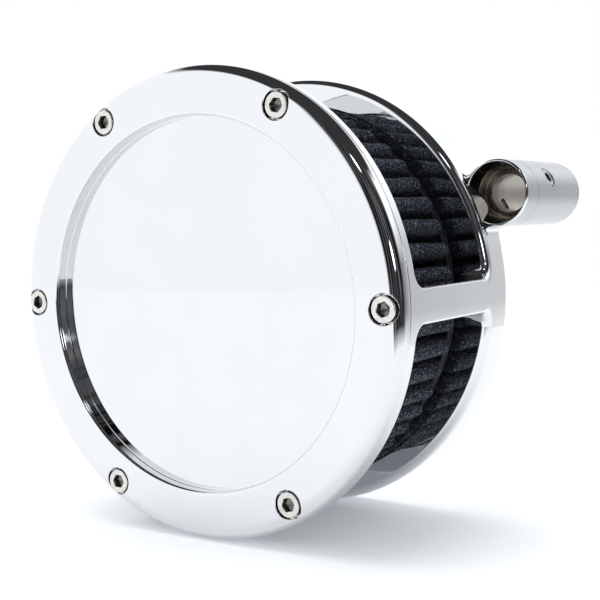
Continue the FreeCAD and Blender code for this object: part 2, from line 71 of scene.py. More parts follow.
# Cover and cage. LOCATOR is an inner radius, an outer radius and a height. RIM_ROUND follows the
# photograph; the CAD's cover has 4.8 there.
RADIUS = cover_high[0]
FRONT = cover_low[1]
SEAM = cage_low[1]
COVER_BACK = SEAM + 4.0
RIM_ROUND = 5.6
RECESS_RADIUS = 71.0
RECESS_FLOOR = FRONT + 5.0
RECESS_ROUND = 1.4
SEAM_BREAK = 0.35
CAGE_RADIUS = 79.0
WINDOW_FRONT = SEAM + 5.0
PLATE_FACE = -15.5
RIB_HALF = 6.5
CORNER = 6.0
LIP_ROUND = 3.5
WINDOW_BREAK = 1.0
LOCATOR = (54.0, 57.0, 3.0)
SCREW_CIRCLE = (screw_low[0] + screw_high[0]) / 2
COUNTERBORE = 5.45
COUNTERBORE_DEPTH = 4.3
SCREW_HOLE = 3.4
TAPPED_HOLE = 2.5
TAPPED_DEPTH = 6.0

# Ears and standoffs. SEAT is the seat's first y, its last y and its bore's radius; SEAL_GROOVE is an
# inner radius, an outer radius and a depth; TIP_SEAL is a circle's radius and a section's radius.
TUBE_X, TUBE_Z = (tube_low[0] + tube_high[0]) / 2, (tube_low[2] + tube_high[2]) / 2
TUBE_RADIUS = (tube_high[0] - tube_low[0]) / 2
TUBE_END = tube_high[1]
EAR_CIRCLE = math.hypot(TUBE_X, TUBE_Z)
EAR_FRONT = -11.0
EAR_BLEND = 4.5
EAR_ROUND = 1.0
COUNTERSINK = 12.0
HEAD_BORE = 10.0
REGISTER_RADIUS = 11.5
REGISTER_DEPTH = 4.0
SEAT = (2.0, 8.0, 7.4)
CHAMBER_RADIUS = 8.8
SEAL_GROOVE = (10.05, 11.95, 1.5)
TIP_SEAL = (11.0, 0.75)
GRUB_Y = 15.0
GRUB_ANGLE = math.radians(28)
GRUB_HOLE = 4.0
VENT_RADIUS = 2.25

# Throttle side. BELL_COUNTERBORE is a radius and a depth; THROTTLE_SEAL is a circle's radius, a
# section's radius and half of its groove's width.
BORE = 27.5
BELL_SPIGOT = 31.0
BELL_FLANGE = bell_high[0]
BELL_FACE = bell_low[1]
BELL_LIP = 7.0
BELL_COUNTERBORE = (6.6, 5.0)
BOLT_CIRCLE = 41.5
THROTTLE_SEAL = (33.9, 1.25, 1.4)

# Element. No screen shows within POTTED of either end, and the crests close up within PINCHED.
PLEATS = 50
PLEAT_START = math.radians(-0.9)
CREST_RADIUS = mesh_high[0]
VALLEY_RADIUS = 58.7
CREST_BEND = 2.6
VALLEY_BEND = 1.5
SHEET_HALF = 0.6
WEAVE_PITCH = 0.55
POTTED = 3.4
PINCHED = 6.5
CAP_INNER = 57.4
CAP_INSET = 3.8

# Quarter inch screws, and the grub screws in the standoffs
SCREW_HEAD = 4.75
SCREW_HEAD_HEIGHT = 4.2
BOLT_HEAD_HEIGHT = 6.35
HEXAGON = 2.4
THREAD_PITCH = 1.27
GRUB_RADIUS = 3.9
GRUB_LENGTH = 3.6
GRUB_SUNK = 0.5

# Satin turned surfaces
SATIN_ROUGHNESS = 0.26
SATIN_COLOR = (0.415, 0.425, 0.44)


# Distance functions


def both(a, b, radius):
    """Intersection of two shapes, its edge rounded to a radius."""
    corner = np.hypot(np.maximum(radius + a, 0), np.maximum(radius + b, 0))
    return np.minimum(-radius, np.maximum(a, b)) + corner


def either(a, b, radius):
    """Union of two shapes, its inner corner filled to a radius."""
    return -both(-a, -b, radius)


def ring_shape(r, y, inner, outer, start, stop, edge):
    """Solid ring about Y."""
    across = np.abs(r - (inner + outer) / 2) - (outer - inner) / 2
    along = np.abs(y - (start + stop) / 2) - (stop - start) / 2
    return both(across, along, edge)


def polar(points, count, start=0.0):
    """Radius about Y, y, and the place outward and sideways in the nearest of so many spokes."""
    x, y, z = points[..., 0], points[..., 1], points[..., 2]
    r = np.hypot(x, z)
    sector = math.tau / count
    angle = (np.arctan2(z, x) - start + sector / 2) % sector - sector / 2
    return r, y, r * np.cos(angle), r * np.sin(angle)


def cover_distance(points):
    r, y, outward, sideways = polar(points, SCREWS)
    disc = both(FRONT - y, r - RADIUS, RIM_ROUND)
    disc = both(disc, y - SEAM, SEAM_BREAK)
    around_recess = either(RECESS_RADIUS - r, RECESS_FLOOR - y, 0.25)
    disc = both(disc, around_recess, RECESS_ROUND)
    spigot = both(r - CAGE_RADIUS + 0.3, np.abs(y - (RECESS_FLOOR + COVER_BACK) / 2)
                  - (COVER_BACK - RECESS_FLOOR) / 2, 0.4)
    locator = ring_shape(r, y, LOCATOR[0], LOCATOR[1], COVER_BACK - 1, COVER_BACK + LOCATOR[2], 0.4)
    solid = either(either(disc, spigot, 0.1), locator, 0.3)
    from_screw = np.hypot(outward - SCREW_CIRCLE, sideways)
    seat = both(from_screw - COUNTERBORE, y - FRONT - COUNTERBORE_DEPTH, 0.1)
    solid = both(solid, -seat, 0.3)
    return both(solid, SCREW_HOLE - from_screw, 0.15)


def cage_distance(points):
    r, y, _, sideways = polar(points, RIBS)
    wall = either(y - WINDOW_FRONT, np.abs(sideways) - RIB_HALF, CORNER)
    wall = either(wall, PLATE_FACE - y, CORNER)
    towards_plate = np.clip((y - PLATE_FACE + CORNER) / CORNER, 0, 1)
    edge = WINDOW_BREAK + (LIP_ROUND - WINDOW_BREAK) * towards_plate ** 2 * (3 - 2 * towards_plate)
    solid = both(wall, r - RADIUS, edge)
    solid = both(solid, either(CAGE_RADIUS - r, PLATE_FACE - y, 0.6), 0.5)
    locator = ring_shape(r, y, LOCATOR[0], LOCATOR[1], PLATE_FACE - LOCATOR[2], PLATE_FACE + 1, 0.4)
    solid = either(solid, locator, 0.3)
    solid = both(solid, SEAM - y, SEAM_BREAK)
    solid = both(solid, y, 0.9)
    solid = both(solid, BELL_SPIGOT - r, 0.4)
    circle, _, half = THROTTLE_SEAL
    groove = ring_shape(r, y, circle - half, circle + half, -2.5, 2.5, 0.2)
    solid = both(solid, -groove, 0.15)
    _, _, outward, sideways = polar(points, SCREWS)
    from_hole = np.hypot(outward - SCREW_CIRCLE, sideways)
    hole = both(from_hole - TAPPED_HOLE, y - SEAM - TAPPED_DEPTH, 0.3)
    return both(solid, -hole, 0.3)


def ear_distance(points):
    """One ear in its own axes: x outward from the cage's axis through the ear's centre."""
    x, y, z = points[..., 0], points[..., 1], points[..., 2]
    from_axis = np.hypot(x - EAR_CIRCLE, z)
    from_cage = np.hypot(x, z)
    outline = either(from_axis - TUBE_RADIUS, from_cage - RADIUS + 0.02, EAR_BLEND)
    outline = both(outline, RADIUS - 5 - from_cage, 0.1)
    solid = both(outline, EAR_FRONT - y, EAR_ROUND)
    solid = both(solid, y + 0.02, 0.12)
    run = -REGISTER_DEPTH - EAR_FRONT
    cone_radius = COUNTERSINK + (HEAD_BORE - COUNTERSINK) * (y - EAR_FRONT) / run
    solid = both(solid, np.maximum(cone_radius, HEAD_BORE) - from_axis, 0.2)
    register = both(from_axis - REGISTER_RADIUS, -REGISTER_DEPTH - y, 0.05)
    return both(solid, -register, 0.05)


def standoff_distance(points):
    """One standoff about its own axis."""
    x, y, z = points[..., 0], points[..., 1], points[..., 2]
    r = np.hypot(x, z)
    solid = both(r - TUBE_RADIUS, -y + 0.02, 0.12)
    spigot = both(r - REGISTER_RADIUS + 0.05, -REGISTER_DEPTH - y, 0.3)
    solid = np.minimum(solid, spigot)
    solid = both(solid, y - TUBE_END, 0.7)
    head = both(r - HEAD_BORE, y - SEAT[0], 0.2)
    solid = both(solid, -head, 0.25)
    solid = both(solid, SEAT[2] - r, 0.3)
    chamber = both(r - CHAMBER_RADIUS, SEAT[1] - y, 0.3)
    solid = both(solid, -chamber, 0.25)
    inner, outer, depth = SEAL_GROOVE
    groove = ring_shape(r, y, inner, outer, TUBE_END - depth, TUBE_END + depth, 0.1)
    solid = both(solid, -groove, 0.1)
    outward = x * math.cos(GRUB_ANGLE) + z * math.sin(GRUB_ANGLE)
    across = np.hypot(-x * math.sin(GRUB_ANGLE) + z * math.cos(GRUB_ANGLE), y - GRUB_Y)
    cross_hole = both(across - GRUB_HOLE, -outward, 0.1)
    solid = both(solid, -cross_hole, 0.35)
    vent = both(across - VENT_RADIUS, outward, 0.1)
    return both(solid, -vent, 0.25)


def bell_distance(points):
    r, y, outward, sideways = polar(points, 3, math.pi / 2)
    solid = ring_shape(r, y, 20.0, BELL_FLANGE, BELL_FACE, PLATE_FACE, 1.0)
    spigot = ring_shape(r, y, 20.0, BELL_SPIGOT, BELL_FACE + 3, 0.0, 0.3)
    solid = either(solid, spigot, 0.2)
    solid = both(solid, BORE - r, np.where(y < PLATE_FACE, BELL_LIP, 0.3))
    from_bolt = np.hypot(outward - BOLT_CIRCLE, sideways)
    radius, depth = BELL_COUNTERBORE
    pocket = both(from_bolt - radius, y - BELL_FACE - depth, 0.3)
    return both(solid, -pocket, 0.3)


def screw_distance(head, height, shank, length, socket, depth, pitch):
    """Cap screw about Y with its head's underside at y = 0 and its head towards -Y."""

    def distance(points):
        x, y, z = points[..., 0], points[..., 1], points[..., 2]
        r = np.hypot(x, z)
        turn = (np.arctan2(z, x) / math.tau + y / pitch) % 1
        thread = shank - 0.3 * np.abs(2 * turn - 1) * np.clip((y - 1.5) / 1.0, 0, 1)
        stem = both(r - thread, y - length, 0.5)
        stem = both(stem, -height / 2 - y, 0.1)
        cap = both(r - head, np.abs(y + height / 2) - height / 2, 0.45)
        solid = either(cap, stem, 0.25)
        hexagon = np.maximum(np.abs(x), np.abs(0.5 * x + math.sqrt(0.75) * z))
        hexagon = np.maximum(hexagon, np.abs(0.5 * x - math.sqrt(0.75) * z)) - socket
        recess = both(hexagon, y + height - depth - 0.35 * (socket - r), 0.1)
        recess = np.minimum(recess, r - socket * 1.12 + (y + height) * 1.2)
        return both(solid, -recess, 0.12)

    return distance


def grub_distance(radius, length, socket, depth):
    """Set screw along its own X axis, its socket facing +X at x = 0."""

    def distance(points):
        x, y, z = points[..., 0], points[..., 1], points[..., 2]
        solid = both(np.hypot(y, z) - radius, np.abs(x + length / 2) - length / 2, 0.45)
        hexagon = np.maximum(np.abs(y), np.abs(0.5 * y + math.sqrt(0.75) * z))
        hexagon = np.maximum(hexagon, np.abs(0.5 * y - math.sqrt(0.75) * z)) - socket
        return both(solid, -both(hexagon, -depth - x, 0.1), 0.15)

    return distance


# Meshing


def steps(*stretches):
    """Grid lines over stretches of (start, stop, spacing) that follow one another."""
    lines = []
    for start, stop, spacing in stretches:
        count = max(1, round((stop - start) / spacing))
        lines.append(np.linspace(start, stop, count, endpoint=False))
    return np.concatenate(lines + [[stretches[-1][1]]])


def straight(a, b, c):
    return np.stack([a, b, c], -1)


def about_y(r, angle, y):
    return np.stack([r * np.cos(angle), y, r * np.sin(angle)], -1)


def turn_about_y(angle):
    """Matrix that turns row vectors about Y, from +X towards +Z."""
    return np.array([[math.cos(angle), 0, math.sin(angle)], [0, 1, 0],
                     [-math.sin(angle), 0, math.cos(angle)]])


def slope(distance, points):
    reach = 0.01
    parts = []
    for axis in np.eye(3) * reach:
        parts.append((distance(points + axis) - distance(points - axis)) / (2 * reach))
    return np.stack(parts, -1)


def skin(distance, axes, place=straight, repeats=0):
    """Vertices, quads and normals of distance = 0, one vertex to a grid cell that it crosses.

    With repeats, the second axis is an angle whose stretch repeats that often round a full turn.
    """
    first, second, third = axes
    values = distance(place(*np.meshgrid(first, second, third, indexing="ij")))
    if repeats:
        second = np.concatenate([second + math.tau / repeats * turn for turn in range(repeats)])
        values = np.tile(values, (1, repeats, 1))
    lines = (first, second, third)
    inside = values < 0
    shape = np.array(values.shape)
    total = np.zeros((values.size, 4))
    quads = []
    for axis in range(3):
        crossing = inside != np.roll(inside, -1, axis)
        for other in range(3):
            if repeats and other == 1:
                continue
            edge = [slice(None)] * 3
            edge[other] = -1
            crossing[tuple(edge)] = False
            if other != axis:
                edge[other] = 0
                crossing[tuple(edge)] = False
        here = np.argwhere(crossing)
        there = here.copy()
        there[:, axis] = (there[:, axis] + 1) % shape[axis]
        near, far = values[tuple(here.T)], values[tuple(there.T)]
        share = (near / (near - far))[:, None]
        ends = [place(*(lines[k][index[:, k]] for k in range(3))) for index in (here, there)]
        spot = np.column_stack([ends[0] + share * (ends[1] - ends[0]), np.ones(len(here))])
        u, v = [k for k in range(3) if k != axis]
        corners = []
        for step_u, step_v in ((-1, -1), (0, -1), (0, 0), (-1, 0)):
            cell = here.copy()
            cell[:, u] += step_u
            cell[:, v] += step_v
            cell %= shape
            index = np.ravel_multi_index(tuple(cell.T), tuple(shape))
            corners.append(index)
            for part in range(4):
                total[:, part] += np.bincount(index, spot[:, part], minlength=values.size)
        quad = np.stack(corners, -1)
        turned = inside[tuple(here.T)] ^ (axis == 1)
        quad[turned] = quad[turned][:, ::-1]
        quads.append(quad)
    quads = np.concatenate(quads)
    used, flat = np.unique(quads, return_inverse=True)
    quads = flat.reshape(-1, 4)
    vertices = total[used, :3] / total[used, 3:]
    for _ in range(5):
        fall = slope(distance, vertices)
        vertices -= (distance(vertices) / (fall ** 2).sum(-1).clip(0.2))[:, None] * fall
    normals = slope(distance, vertices)
    normals /= np.linalg.norm(normals, axis=-1, keepdims=True).clip(1e-9)
    a, b, c = (vertices[quads[:, k]] for k in range(3))
    facing = (np.cross(b - a, c - a) * normals[quads[:, 0]]).sum()
    return vertices, quads if facing > 0 else quads[:, ::-1], normals


def mesh_object(name, vertices, faces, normals=None):
    mesh = bpy.data.meshes.new(name)
    mesh.from_pydata((np.asarray(vertices) * MM).tolist(), [], [list(face) for face in faces])
    mesh.polygons.foreach_set("use_smooth", [True] * len(mesh.polygons))
    if normals is not None:
        mesh.normals_split_custom_set_from_vertices(np.asarray(normals).tolist())
    piece = bpy.data.objects.new(name, mesh)
    bpy.context.scene.collection.objects.link(piece)
    return piece


def close_axis(vertices, quads, normals, within=6):
    """Close the small openings that a grid about Y leaves round its axis, one face to each."""
    near = np.hypot(vertices[:, 0], vertices[:, 2]) < within
    edges = {}
    for quad in quads[near[quads].any(axis=1)]:
        for start, stop in zip(quad, np.roll(quad, -1)):
            edges[(int(start), int(stop))] = True
    loose = {stop: start for start, stop in edges if (stop, start) not in edges and near[start]}
    faces = [list(map(int, quad)) for quad in quads]
    while loose:
        first, following = loose.popitem()
        loop = [first]
        while following != first:
            loop.append(following)
            following = loose.pop(following)
        faces.append(loop)
    return vertices, faces, normals


def lathe(profile, segments=128):
    """Vertices and quads of a closed (radius, y) outline turned about Y."""
    outline = np.array(profile, float)
    angles = np.linspace(0, math.tau, segments, endpoint=False)
    vertices = about_y(outline[:, 0][None], angles[:, None], np.broadcast_to(
        outline[:, 1], (segments, len(outline)))).reshape(-1, 3)
    count = len(outline)
    faces = []
    for turn in range(segments):
        following = (turn + 1) % segments
        for index in range(count):
            after = (index + 1) % count
            faces.append((turn * count + index, turn * count + after,
                          following * count + after, following * count + index))
    return vertices, faces


def round_section(circle, middle, radius):
    """The (radius, y) outline of a ring seal whose round section is centred at y = middle."""
    return [(circle + radius * math.cos(a), middle + radius * math.sin(a))
            for a in np.linspace(0, math.tau, 24, endpoint=False)]


# Materials


def node_material(name):
    material = bpy.data.materials.new(name)
    material.use_nodes = True
    tree = material.node_tree
    return material, tree, tree.nodes["Principled BSDF"]


def add(tree, kind, inputs=None, **settings):
    """A shader node with its settings, and its inputs from numbers or other nodes' outputs."""
    node = tree.nodes.new(kind)
    for name, value in settings.items():
        setattr(node, name, value)
    for name, value in (inputs or {}).items():
        if isinstance(value, bpy.types.NodeSocket):
            tree.links.new(value, node.inputs[name])
        else:
            node.inputs[name].default_value = value
    return node


def ramp(tree, source, low, high, start=0.3, stop=0.7):
    """A number from low to high as the source goes from start to stop."""
    return add(tree, "ShaderNodeMapRange", {
        "Value": source, "From Min": start, "From Max": stop, "To Min": low, "To Max": high,
    }).outputs["Result"]


def calculate(tree, operation, a, b=0.0):
    node = add(tree, "ShaderNodeMath", {0: a}, operation=operation)
    if isinstance(b, bpy.types.NodeSocket):
        tree.links.new(b, node.inputs[1])
    else:
        node.inputs[1].default_value = b
    return node.outputs[0]


def from_tube_axis(tree, place):
    """Distance in metres from the nearer standoff's axis, and the place along Y."""
    split = add(tree, "ShaderNodeSeparateXYZ", {"Vector": place})
    across = calculate(tree, "SUBTRACT", calculate(tree, "ABSOLUTE", split.outputs["X"]), TUBE_X * MM)
    upward = calculate(tree, "SUBTRACT", split.outputs["Z"], TUBE_Z * MM)
    squares = calculate(tree, "ADD", calculate(tree, "MULTIPLY", across, across),
                        calculate(tree, "MULTIPLY", upward, upward))
    return calculate(tree, "SQRT", squares), split.outputs["Y"]


def polished(name, color, low, high, ripple):
    """Bright plating: faint haze in patches, and the slightest waviness left by polishing.

    The ears' sides are satin like the standoffs behind them.
    """
    material, tree, shader = node_material(name)
    shader.inputs["Metallic"].default_value = 1.0
    place = add(tree, "ShaderNodeTexCoord").outputs["Object"]
    reach, along = from_tube_axis(tree, place)
    side = TUBE_RADIUS * MM
    face = (EAR_FRONT + EAR_ROUND) * MM
    satin = calculate(tree, "MULTIPLY", ramp(tree, reach, 0.0, 1.0, side - 0.6 * MM, side - 0.2 * MM),
                      ramp(tree, reach, 1.0, 0.0, side + 0.4 * MM, side + 2 * MM))
    satin = calculate(tree, "MULTIPLY", satin, ramp(tree, along, 0.0, 1.0, face - 0.4 * MM, face))
    haze = add(tree, "ShaderNodeTexNoise", {"Vector": place, "Scale": 38.0, "Detail": 5.0})
    tint = add(tree, "ShaderNodeMix", {
        "Factor": ramp(tree, haze.outputs["Fac"], 0.0, 1.0),
        "A": (*color, 1), "B": (*(0.97 * part for part in color), 1),
    }, data_type="RGBA")
    surface = add(tree, "ShaderNodeMix", {
        "Factor": satin, "A": tint.outputs["Result"], "B": (*SATIN_COLOR, 1)}, data_type="RGBA")
    tree.links.new(surface.outputs["Result"], shader.inputs["Base Color"])
    rough = add(tree, "ShaderNodeMix", {
        "Factor": satin, "A": ramp(tree, haze.outputs["Fac"], low, high), "B": SATIN_ROUGHNESS})
    tree.links.new(rough.outputs["Result"], shader.inputs["Roughness"])
    swell = add(tree, "ShaderNodeTexNoise", {"Vector": place, "Scale": 55.0, "Detail": 1.0})
    bump = add(tree, "ShaderNodeBump", {
        "Height": swell.outputs["Fac"], "Strength": ripple, "Distance": 0.0004})
    tree.links.new(bump.outputs["Normal"], shader.inputs["Normal"])
    return material


def turned(name, color, roughness, spread, depth, scale, bore=None):
    """Satin turned metal: fine rings round the Y axis, and painted shade inside the standoffs' bores: a
    darker, browner colour there.
    """
    material, tree, shader = node_material(name)
    shader.inputs["Metallic"].default_value = 1.0
    place = add(tree, "ShaderNodeTexCoord").outputs["Object"]
    stretched = add(tree, "ShaderNodeMapping", {"Vector": place, "Scale": (14.0, scale, 14.0)})
    rings = add(tree, "ShaderNodeTexNoise", {
        "Vector": stretched.outputs["Vector"], "Scale": 1.0, "Detail": 4.0})
    cloud = add(tree, "ShaderNodeTexNoise", {"Vector": place, "Scale": 60.0, "Detail": 3.0})
    tint = add(tree, "ShaderNodeMix", {
        "Factor": ramp(tree, cloud.outputs["Fac"], 0.0, 1.0),
        "A": (*color, 1), "B": (*(0.96 * part for part in color), 1),
    }, data_type="RGBA")
    surface = tint.outputs["Result"]
    # Painted shade: inside the bores the colour turns darker and browner, patchy with the cloud noise.
    if bore:
        reach, _ = from_tube_axis(tree, place)
        painted_bore_shade = add(tree, "ShaderNodeMix", {
            "Factor": ramp(tree, cloud.outputs["Fac"], 0.0, 1.0),
            "A": (*bore, 1), "B": (*(0.7 * part for part in bore), 1),
        }, data_type="RGBA")
        surface = add(tree, "ShaderNodeMix", {
            "Factor": ramp(tree, reach, 1.0, 0.0, (HEAD_BORE + 0.3) * MM, (HEAD_BORE + 0.6) * MM),
            "A": surface, "B": painted_bore_shade.outputs["Result"],
        }, data_type="RGBA").outputs["Result"]
    tree.links.new(surface, shader.inputs["Base Color"])
    rough = ramp(tree, rings.outputs["Fac"], roughness * (1 - spread), roughness * (1 + spread))
    tree.links.new(rough, shader.inputs["Roughness"])
    bump = add(tree, "ShaderNodeBump", {
        "Height": rings.outputs["Fac"], "Strength": 0.1, "Distance": depth})
    tree.links.new(bump.outputs["Normal"], shader.inputs["Normal"])
    return material


def brushed(name, color, roughness, shaded_span=None):
    """Satin fastener steel with fine random scratches; between two heights along Y, painted shade darkens a
    sunk head and its socket.
    """
    material, tree, shader = node_material(name)
    shader.inputs["Metallic"].default_value = 1.0
    place = add(tree, "ShaderNodeTexCoord").outputs["Object"]
    grain = add(tree, "ShaderNodeTexNoise", {"Vector": place, "Scale": 900.0, "Detail": 4.0})
    tint = add(tree, "ShaderNodeMix", {
        "Factor": ramp(tree, grain.outputs["Fac"], 0.0, 1.0),
        "A": (*color, 1), "B": (*(0.8 * part for part in color), 1),
    }, data_type="RGBA")
    surface = tint.outputs["Result"]
    if shaded_span:
        start, stop = shaded_span
        # Painted shade: darker from just under the head's top down to its underside, where the socket and
        # the head's sunk sides lie in shade.
        along = add(tree, "ShaderNodeSeparateXYZ", {"Vector": place}).outputs["Y"]
        painted_shade = ramp(tree, along, 0.0, 0.72, start + 0.0002, start + 0.0012)
        painted_shade = calculate(tree, "MULTIPLY", painted_shade, ramp(tree, along, 1.0, 0.0, stop - 0.0002, stop))
        surface = add(tree, "ShaderNodeMix", {
            "Factor": painted_shade, "A": surface, "B": (0.04, 0.037, 0.034, 1),
        }, data_type="RGBA").outputs["Result"]
    tree.links.new(surface, shader.inputs["Base Color"])
    rough = ramp(tree, grain.outputs["Fac"], roughness * 0.8, roughness * 1.25)
    tree.links.new(rough, shader.inputs["Roughness"])
    bump = add(tree, "ShaderNodeBump", {
        "Height": grain.outputs["Fac"], "Strength": 0.25, "Distance": 0.00005})
    tree.links.new(bump.outputs["Normal"], shader.inputs["Normal"])
    return material


def moulded(name, color, roughness):
    """Moulded rubber: slight grain and uneven sheen."""
    material, tree, shader = node_material(name)
    place = add(tree, "ShaderNodeTexCoord").outputs["Object"]
    grain = add(tree, "ShaderNodeTexNoise", {"Vector": place, "Scale": 700.0, "Detail": 3.0})
    cloud = add(tree, "ShaderNodeTexNoise", {"Vector": place, "Scale": 45.0, "Detail": 3.0})
    tint = add(tree, "ShaderNodeMix", {
        "Factor": ramp(tree, cloud.outputs["Fac"], 0.0, 1.0),
        "A": (*color, 1), "B": (*(1.5 * part for part in color), 1),
    }, data_type="RGBA")
    tree.links.new(tint.outputs["Result"], shader.inputs["Base Color"])
    rough = ramp(tree, cloud.outputs["Fac"], roughness * 0.85, roughness * 1.15)
    tree.links.new(rough, shader.inputs["Roughness"])
    bump = add(tree, "ShaderNodeBump", {
        "Height": grain.outputs["Fac"], "Strength": 0.3, "Distance": 0.0001})
    tree.links.new(bump.outputs["Normal"], shader.inputs["Normal"])
    return material


def screened_gauze():
    """Dark oiled gauze under a fine woven screen, with painted glints on its wires. The UV map is in
    millimetres along the sheet.
    """
    material, tree, shader = node_material("screened_gauze")
    shader.inputs["Specular IOR Level"].default_value = 0.35
    split = add(tree, "ShaderNodeSeparateXYZ", {
        "Vector": add(tree, "ShaderNodeTexCoord").outputs["UV"]})
    place = add(tree, "ShaderNodeTexCoord").outputs["Object"]

    def strands(axis, other):
        """Height of the wires that repeat along one axis, rising and dipping along the other."""
        across = calculate(tree, "MULTIPLY", split.outputs[axis], math.tau / WEAVE_PITCH)
        along = calculate(tree, "MULTIPLY", split.outputs[other], math.pi / WEAVE_PITCH)
        wire = ramp(tree, calculate(tree, "SINE", across), 0.0, 1.0, 0.1, 1.0)
        wave = calculate(tree, "ABSOLUTE", calculate(tree, "SINE", along))
        return calculate(tree, "MULTIPLY", wire, ramp(tree, wave, 0.2, 1.0, 0.0, 1.0))

    wires = calculate(tree, "MAXIMUM", strands("X", "Y"), strands("Y", "X"))
    glint = add(tree, "ShaderNodeTexNoise", {"Vector": place, "Scale": 1300.0, "Detail": 2.0})
    cloud = add(tree, "ShaderNodeTexNoise", {"Vector": place, "Scale": 70.0, "Detail": 4.0})
    cloth = add(tree, "ShaderNodeMix", {
        "Factor": ramp(tree, cloud.outputs["Fac"], 0.0, 1.0),
        "A": (0.0020, 0.0042, 0.0110, 1), "B": (0.0052, 0.0090, 0.0210, 1),
    }, data_type="RGBA")
    # Painted highlight: the wires turn pale in random spots, standing in for glints of light off the
    # screen.
    painted_glints = calculate(tree, "MULTIPLY", wires, ramp(tree, glint.outputs["Fac"], 0.0, 1.0, 0.52, 0.66))
    along = add(tree, "ShaderNodeSeparateXYZ", {"Vector": place}).outputs["Y"]
    for end, inward in ((gauze_high[1], -POTTED), (gauze_low[1], POTTED)):
        clear = ramp(tree, along, 0.0, 1.0, (end + inward * 0.7) * MM, (end + inward) * MM)
        painted_glints = calculate(tree, "MULTIPLY", painted_glints, clear)
    # Painted glints: the base colour turns pale blue-grey where they fall.
    tint = add(tree, "ShaderNodeMix", {
        "Factor": painted_glints, "A": cloth.outputs["Result"], "B": (0.50, 0.55, 0.65, 1),
    }, data_type="RGBA")
    tree.links.new(tint.outputs["Result"], shader.inputs["Base Color"])
    tree.links.new(ramp(tree, painted_glints, 0.85, 0.35, 0.0, 1.0), shader.inputs["Roughness"])
    bump = add(tree, "ShaderNodeBump", {"Height": wires, "Strength": 0.5, "Distance": 0.0001})
    tree.links.new(bump.outputs["Normal"], shader.inputs["Normal"])
    return material


chrome = polished("chrome", (0.720, 0.729, 0.742), 0.015, 0.045, 0.02)
# Its last colour is painted shade for the inside of the standoffs' bores.
satin_tube = turned("satin_tube", SATIN_COLOR, SATIN_ROUGHNESS, 0.05, 0.0000005, 900.0, (0.30, 0.265, 0.23))
turned_bell = turned("turned_bell", (0.74, 0.75, 0.76), 0.24, 0.18, 0.00004, 1800.0)
head_top = screw_low[1] * MM
# Painted shade over the cover screws' heads, from their tops to their undersides.
screw_steel = brushed("screw_steel", (0.74, 0.715, 0.68), 0.30,
                      (head_top, head_top + SCREW_HEAD_HEIGHT * MM))
stainless = brushed("stainless", (0.66, 0.64, 0.60), 0.30)
dark_steel = brushed("dark_steel", (0.42, 0.42, 0.43), 0.26)
cap_rubber = moulded("cap_rubber", (0.012, 0.013, 0.016), 0.55)
seal_rubber = moulded("seal_rubber", (0.010, 0.010, 0.010), 0.40)
gauze = screened_gauze()


def fit_out(piece, body, material, slot, *nodes):
    """Dress a piece, let it ride on its body, and hide the CAD nodes that it stands for."""
    piece.data.materials.clear()
    piece.data.materials.append(material)
    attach(piece, body)
    if nodes:
        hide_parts(*nodes)
    return piece


# Cover and cage

sector = math.tau / SCREWS
fine_turn = math.radians(8.5)
sector_lines = steps((0, fine_turn, math.radians(0.28)),
                     (fine_turn, sector - fine_turn, math.radians(1.0)),
                     (sector - fine_turn, sector, math.radians(0.28)))[:-1]

cover_axes = (
    steps((0, 4, 4), (4, 52, 8), (52, 59, 0.5), (59, 69.5, 2.5), (69.5, 91, 0.3)),
    sector_lines,
    steps((FRONT - 1, SEAM + 0.8, 0.3), (SEAM + 0.8, COVER_BACK + 4, 0.45)),
)
cover = mesh_object("cover_shell", *close_axis(*skin(cover_distance, cover_axes, about_y, SCREWS)))
fit_out(cover, "cover", chrome, "cover_chrome", "front_cover")

cage_axes = (
    steps((29, 36.5, 0.4), (36.5, 52, 3), (52, 59, 0.5), (59, 77.5, 3), (77.5, 91, 0.35)),
    np.concatenate([sector_lines, sector_lines + sector]),
    steps((SEAM - 1, WINDOW_FRONT + CORNER + 0.5, 0.4), (WINDOW_FRONT + CORNER + 0.5, -23, 2.0),
          (-23, -10, 0.4), (-10, -3.2, 1.5), (-3.2, 1.2, 0.35)),
)
cage = mesh_object("cage_shell", *skin(cage_distance, cage_axes, about_y, RIBS))
fit_out(cage, "housing", chrome, "housing_chrome", "housing")

# Ears and standoffs

ear_axes = (
    steps((RADIUS - 7, EAR_CIRCLE + TUBE_RADIUS + 1, 0.4)),
    steps((EAR_FRONT - 1, 1, 0.35)),
    steps((-19, 19, 0.4)),
)
ear_mesh = skin(ear_distance, ear_axes)
tube_axes = (
    steps((6.5, TUBE_RADIUS + 1, 0.35)),
    steps((0, math.tau, math.radians(2.5)))[:-1],
    steps((-5, 9, 0.4), (9, 21, 0.35), (21, TUBE_END - 3, 1.5), (TUBE_END - 3, TUBE_END + 1, 0.3)),
)
tube_mesh = skin(standoff_distance, tube_axes, about_y, 1)
grub_across = steps((-4.8, 4.8, 0.2))
grub_mesh = skin(grub_distance(GRUB_RADIUS, GRUB_LENGTH, 2.0, 2.2),
                 (steps((-4.5, 0.9, 0.2)), grub_across, grub_across))


def on_side(side, shape, turn, shift):
    """A mesh turned and moved to its place on the right, or mirrored from there to the left."""
    vertices, faces, normals = shape
    mirror = np.array([side, 1, 1])
    return ((vertices @ turn + shift) * mirror, faces if side > 0 else faces[:, ::-1],
            normals @ turn * mirror)


